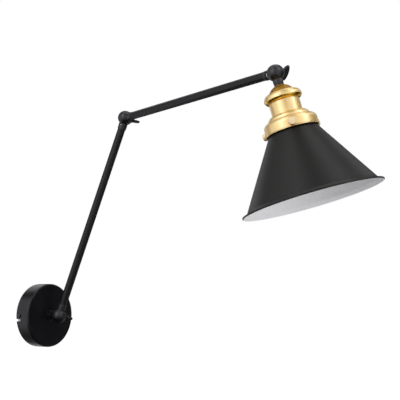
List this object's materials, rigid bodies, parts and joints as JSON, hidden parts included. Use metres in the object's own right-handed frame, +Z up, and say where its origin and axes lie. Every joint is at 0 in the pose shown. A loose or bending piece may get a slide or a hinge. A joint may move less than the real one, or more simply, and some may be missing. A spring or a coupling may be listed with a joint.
{
  "type": "wall sconce",
  "caption": "Swing-arm wall lamp: round canopy, two tube arms on half-ball knuckles with wing screws, brass lampholder and cone shade.",
  "frame": {"origin": "middle of the wall bracket's back face, where it lies on the wall", "axes": "+Y into the wall, -Y out into the room, +Z up, +X along the bracket to the right as seen from the room"},
  "size_m": [0.1866, 0.6074, 0.3832],
  "materials": {
    "black_coat": "satin black powder coat",
    "black_shade": "satin black outside, matt white inside",
    "satin_brass": "satin brushed brass",
    "bright_steel": "bright zinc plate",
    "galvanised": "dull zinc plate",
    "white_nylon": "plain moulded",
    "porcelain": "unglazed",
    "nickel": "nickel plate",
    "fibre": "matt black fibre",
    "lead_sheath": "smooth white sheath"
  },
  "bodies": {
    "wall_mount": {"wall_bracket": "galvanised", "canopy": "black_coat", "canopy_side_screws": "black_coat", "earth_screw": "satin_brass", "earth_washer": "satin_brass", "terminal_block": "white_nylon", "terminal_clamps": "nickel", "terminal_screws": "bright_steel", "terminal_fixing_screw": "bright_steel"},
    "swivel_stem": {"base_knuckle_stem_half": "black_coat", "base_swivel_washer": "black_coat", "base_lock_washer": "bright_steel", "base_lock_nut": "bright_steel", "stem_lead": "lead_sheath"},
    "lower_arm": {"base_knuckle_arm_half": "black_coat", "base_friction_washer": "fibre", "lower_arm_tube": "black_coat", "lower_arm_lead": "lead_sheath", "elbow_knuckle_lower_half": "black_coat"},
    "upper_arm": {"elbow_knuckle_upper_half": "black_coat", "elbow_friction_washer": "fibre", "upper_arm_tube": "black_coat", "upper_arm_lead": "lead_sheath", "head_knuckle_arm_half": "black_coat"},
    "lamp_head": {"head_knuckle_stem_half": "black_coat", "head_friction_washer": "fibre", "head_lead": "lead_sheath", "lampholder_cap": "satin_brass", "cap_lock_nut": "satin_brass", "lampholder_shell": "satin_brass", "socket_insulator": "porcelain", "socket_screw_shell": "nickel", "socket_centre_contact": "nickel", "socket_rivet": "nickel", "shade_gallery": "satin_brass", "gallery_lock_ring": "satin_brass", "shade": "black_shade"},
    "base_wing": {"base_wing_screw": "black_coat"},
    "elbow_wing": {"elbow_wing_screw": "black_coat"},
    "head_wing": {"head_wing_screw": "black_coat"},
    "front_thumbscrew": {"gallery_screw_front": "satin_brass"},
    "left_thumbscrew": {"gallery_screw_left": "satin_brass"},
    "right_thumbscrew": {"gallery_screw_right": "satin_brass"}
  },
  "joints": [
    {"name": "base_swivel", "type": "hinge", "parent": "wall_mount", "child": "swivel_stem", "pos_m": [0, -0.044, 0], "axis": [0, 1, 0], "range_deg": [-150, 150]},
    {"name": "base_pivot", "type": "hinge", "parent": "swivel_stem", "child": "lower_arm", "pos_m": [0, -0.044, 0], "axis": [-0.9962, 0, 0.0872], "range_deg": [-105, 18]},
    {"name": "elbow_pivot", "type": "hinge", "parent": "lower_arm", "child": "upper_arm", "pos_m": [0.02711, -0.15416, 0.30989], "axis": [0.9547, -0.244, -0.1703], "range_deg": [-95, 38]},
    {"name": "head_pivot", "type": "hinge", "parent": "upper_arm", "child": "lamp_head", "pos_m": [-0.05278, -0.47417, 0.32043], "axis": [0.9563, -0.2329, 0.1769], "range_deg": [-185, 28]},
    {"name": "base_wing_turn", "type": "hinge", "parent": "lower_arm", "child": "base_wing", "pos_m": [0, -0.044, 0], "axis": [0.9962, 0, -0.0872], "range_deg": [0, 360]},
    {"name": "elbow_wing_turn", "type": "hinge", "parent": "upper_arm", "child": "elbow_wing", "pos_m": [0.02711, -0.15416, 0.30989], "axis": [0.9547, -0.244, -0.1703], "range_deg": [0, 360]},
    {"name": "head_wing_turn", "type": "hinge", "parent": "lamp_head", "child": "head_wing", "pos_m": [-0.05278, -0.47417, 0.32043], "axis": [0.9563, -0.2329, 0.1769], "range_deg": [0, 360]},
    {"name": "front_thumbscrew_turn", "type": "hinge", "parent": "lamp_head", "child": "front_thumbscrew", "pos_m": [-0.04389, -0.49207, 0.24877], "axis": [-0.8649, -0.5016, 0.018], "range_deg": [0, 360]},
    {"name": "left_thumbscrew_turn", "type": "hinge", "parent": "lamp_head", "child": "left_thumbscrew", "pos_m": [-0.04389, -0.49207, 0.24877], "axis": [0.0103, 0.9704, -0.2412], "range_deg": [0, 360]},
    {"name": "right_thumbscrew_turn", "type": "hinge", "parent": "lamp_head", "child": "right_thumbscrew", "pos_m": [-0.04389, -0.49207, 0.24877], "axis": [0.8546, -0.4689, 0.2232], "range_deg": [0, 360]}
  ]
}
